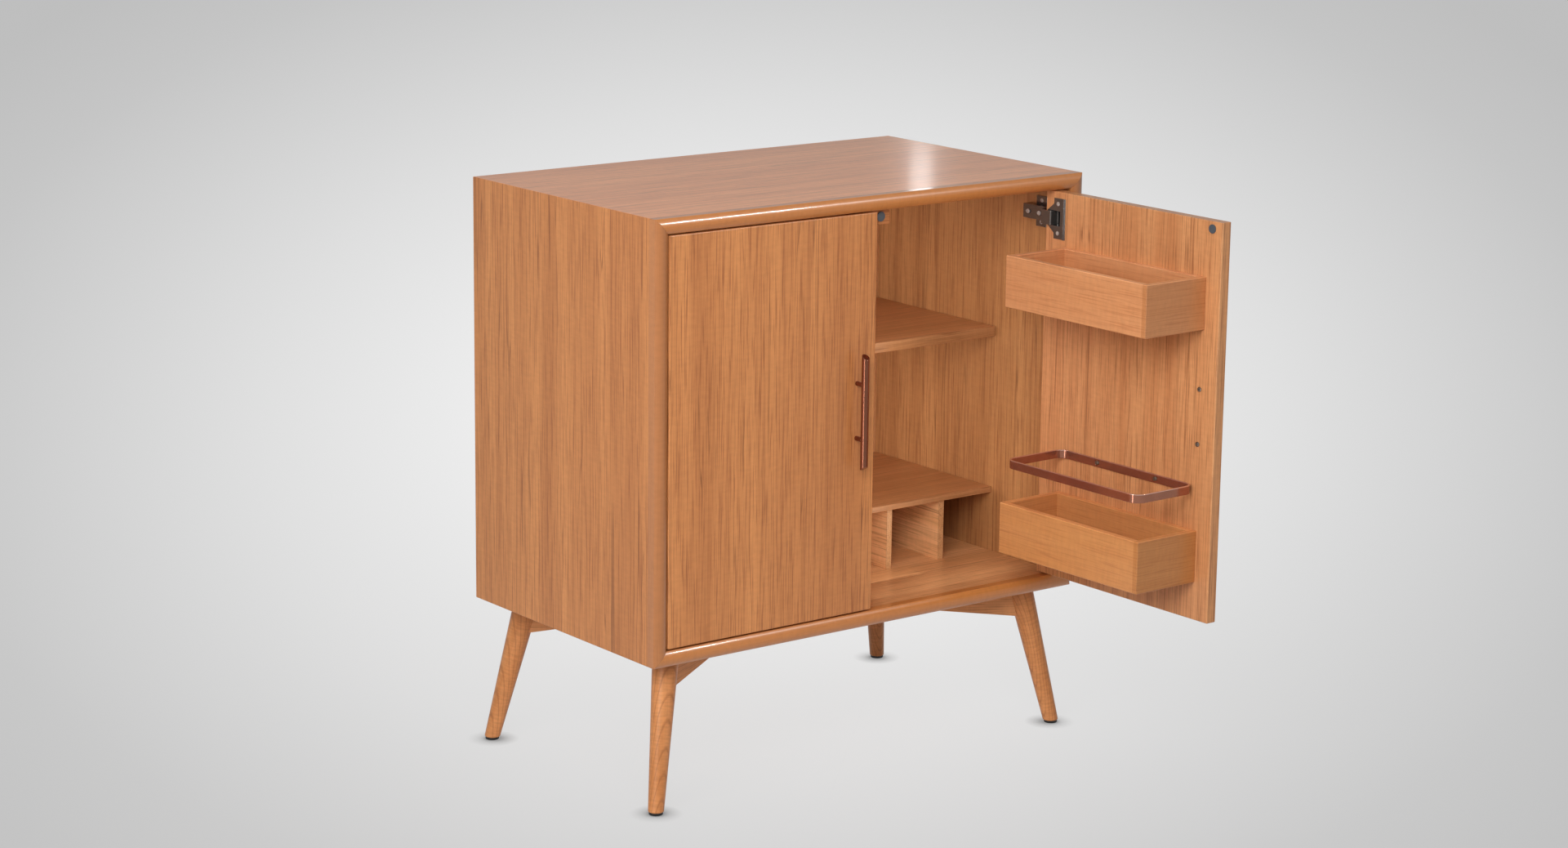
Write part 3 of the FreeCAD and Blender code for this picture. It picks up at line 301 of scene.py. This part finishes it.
# hinges and fasteners: near-black nickel with painted highlights on its edges, pale nickel screws, grey zinc
# screws
wear(metal("black_nickel_plated", "#6F6B68", 0.22, 0.75, "#DEDAD5", 0.9),
     "left_hinge_cups", "right_hinge_cups", "hinge_arms", "hinge_plates")
wear(metal("nickel_plated_screws", "#D6D1CB", 0.22, 0.6),
     "left_hinge_pins", "right_hinge_pins", "left_hinge_cup_screws", "right_hinge_cup_screws",
     "hinge_arm_screws", "hinge_plate_screws")
wear(metal("zinc_plated_steel", "#A7A39C", 0.30),
     "left_handle_screws", "right_handle_screws", "left_rail_screws", "right_rail_screws",
     "back_panel_screws", "glass_rack_screws", "cross_beam_screws", "leg_bolts")

# strikes and magnets: blue-grey oxide, dull
wear(metal("grey_oxide_steel", "#5E6A74", 0.35, 0.4),
     "left_strike_disc", "right_strike_disc", "catch_magnets")

# foot glides: black nylon
wear(plastic("nylon_glide_black", "#1B1A19", 0.5), "foot_glides")


# ---- stage -----------------------------------------------------------------------------
# the floor's pool of light is part of its colour, as if from a lamp above the camera
POOL_FROM = (-3.245, -4.048, 3.0)
POOL_AIM = (0.568, 0.738, -0.363)
# radians from the pool's axis, and the floor's colour there
POOL = [(0.03, "#FBFBFB"), (0.085, "#F5F5F5"), (0.144, "#E7E7E7"), (0.192, "#D9D9D9"),
        (0.232, "#CDCDCD"), (0.27, "#C6C6C6")]
FLOOR_SIZE = 120.0


def floor_material():
    """A pale studio floor with the wide soft pool of light of a front lamp, almost without shadow."""
    material, tree, place = new_material("studio_floor")
    away = add(tree, "VectorMath", {0: place, 1: POOL_FROM}, operation="SUBTRACT")
    turned = add(tree, "VectorMath", {0: away}, operation="NORMALIZE")
    aim = add(tree, "VectorMath", {0: turned, 1: POOL_AIM}, operation="DOT_PRODUCT")
    angle = add(tree, "Math", {0: aim}, operation="ARCCOSINE")
    pool = add(tree, "ValToRGB", {"Fac": angle}, [(position, colour(code)) for position, code in POOL])
    contact = add(tree, "AmbientOcclusion", {"Distance": 0.03}, samples=12)
    shade = add(tree, "MapRange", {"Value": contact.outputs["AO"], "From Min": 0.62, "To Min": 0.42})
    glow = add(tree, "Emission", {"Color": pool, "Strength": shade})
    lit = add(tree, "BsdfPrincipled", {"Base Color": pool, "Roughness": 0.8, "IOR": 1.3})
    path = add(tree, "LightPath")
    seen = add(tree, "Math", {0: path.outputs["Is Camera Ray"], 1: path.outputs["Is Glossy Ray"]},
               operation="MAXIMUM")
    share = add(tree, "Math", {0: seen, 1: 0.88}, operation="MULTIPLY")
    mixed = add(tree, "MixShader", {0: share, 1: lit, 2: glow})
    add(tree, "OutputMaterial", {"Surface": mixed})
    return material


bpy.ops.object.select_all(action="DESELECT")
bpy.ops.mesh.primitive_plane_add(size=FLOOR_SIZE)
floor = bpy.context.object
floor.name = "floor"
floor.data.materials.append(floor_material())

# an even white sky, brighter where gloss shows it
world = bpy.data.worlds.new("studio")
bpy.context.scene.world = world
world.use_nodes = True
sky = world.node_tree
in_gloss = add(sky, "LightPath").outputs["Is Glossy Ray"]
strength = add(sky, "MapRange", {"Value": in_gloss, "To Min": 0.28, "To Max": 0.50})
sky.links.new(strength.outputs[0], sky.nodes["Background"].inputs["Strength"])
sky.nodes["Background"].inputs["Color"].default_value = (1.0, 1.0, 1.0, 1)


# ---- lamps -----------------------------------------------------------------------------
def softbox(name, place, target, width, height, power):
    """An area lamp at a place, turned towards a target."""
    lamp = bpy.data.lights.new(name, "AREA")
    lamp.shape = "RECTANGLE"
    lamp.size, lamp.size_y, lamp.energy = width, height, power
    made = bpy.data.objects.new(name, lamp)
    bpy.context.collection.objects.link(made)
    made.location = place
    made.rotation_euler = (Vector(target) - Vector(place)).to_track_quat("-Z", "Y").to_euler()
    return made


# broad lamps that no gloss shows
for lamp in (softbox("key", (-3.2, -2.6, 2.4), (0, 0, 0.5), 2.8, 2.4, 20),
             softbox("left", (-3.4, -1.3, 2.6), (0, 0, 0.5), 2.0, 2.0, 42),
             softbox("near", (-1.6, -2.2, 2.2), (0, 0, 0.5), 1.4, 1.4, 36),
             softbox("near_left", (-1.9, -1.3, 1.3), (0.2, 0, 0.6), 1.2, 1.2, 12)):
    lamp.visible_glossy = False

# a fill from behind that lights the cabinet alone, not the floor
rear = softbox("rear", (2.5, 3.0, 0.45), (0, 0, 0.45), 1.6, 0.8, 45)
rear.visible_glossy = False
rear.light_linking.receiver_collection = bpy.data.collections.new("lit_from_behind")
for piece in nodes.values():
    rear.light_linking.receiver_collection.objects.link(piece)

# narrow lamps that only gloss shows, and a tiny one for the bright spot on the top
rim = softbox("rim", (1.15, -2.02, 1.94), (-0.3, -0.07, 0.6), 0.7, 0.10, 44)
rim.visible_diffuse = False
glint = softbox("glint", (2.05, 2.30, 1.35), (0.12, -0.01, 0.89), 0.06, 0.05, 0.06)
glint.data.shape = "ELLIPSE"
strip = softbox("strip", (-1.35, -0.43, 0.28), (-0.03, -0.09, 0.4), 0.12, 0.50, 2.2)
strip.visible_diffuse = False
strip.visible_camera = False

# fills inside the cabinet: towards the back, towards the right side, into the bottle bays
inside = softbox("inside", (0, 0.06, 0.55), (0, 0.4, 0.55), 0.40, 0.60, 0.55)
inside_left = softbox("inside_left", (-0.30, 0.27, 0.58), (0.4, 0.31, 0.55), 0.16, 0.54, 0.75)
inside_left.data.spread = math.radians(80)
bays = softbox("bays", (0.1, -0.02, 0.30), (0.1, 0.3, 0.30), 0.5, 0.07, 0.06)
for lamp in (inside, inside_left, bays):
    lamp.visible_camera = False

# ---- camera ----------------------------------------------------------------------------
CAMERA_PLACE = (-3.2448, -4.0475, 1.7084)
CAMERA_DOWN = 12.79        # degrees below the horizon
CAMERA_TURN = -37.62       # degrees about the upright axis, from the +Y direction
CAMERA_ROLL = 0.7075       # degrees
camera = bpy.data.cameras.new("camera")
camera.sensor_width = 36.0
camera.lens = 80.43
viewer = bpy.data.objects.new("camera", camera)
bpy.context.collection.objects.link(viewer)
aimed = Euler((math.radians(90 - CAMERA_DOWN), 0, math.radians(CAMERA_TURN))).to_matrix()
rolled = aimed @ Matrix.Rotation(math.radians(CAMERA_ROLL), 3, "Z")
viewer.matrix_world = Matrix.Translation(CAMERA_PLACE) @ rolled.to_4x4()
bpy.context.scene.camera = viewer
bpy.context.scene.view_settings.view_transform = "Standard"
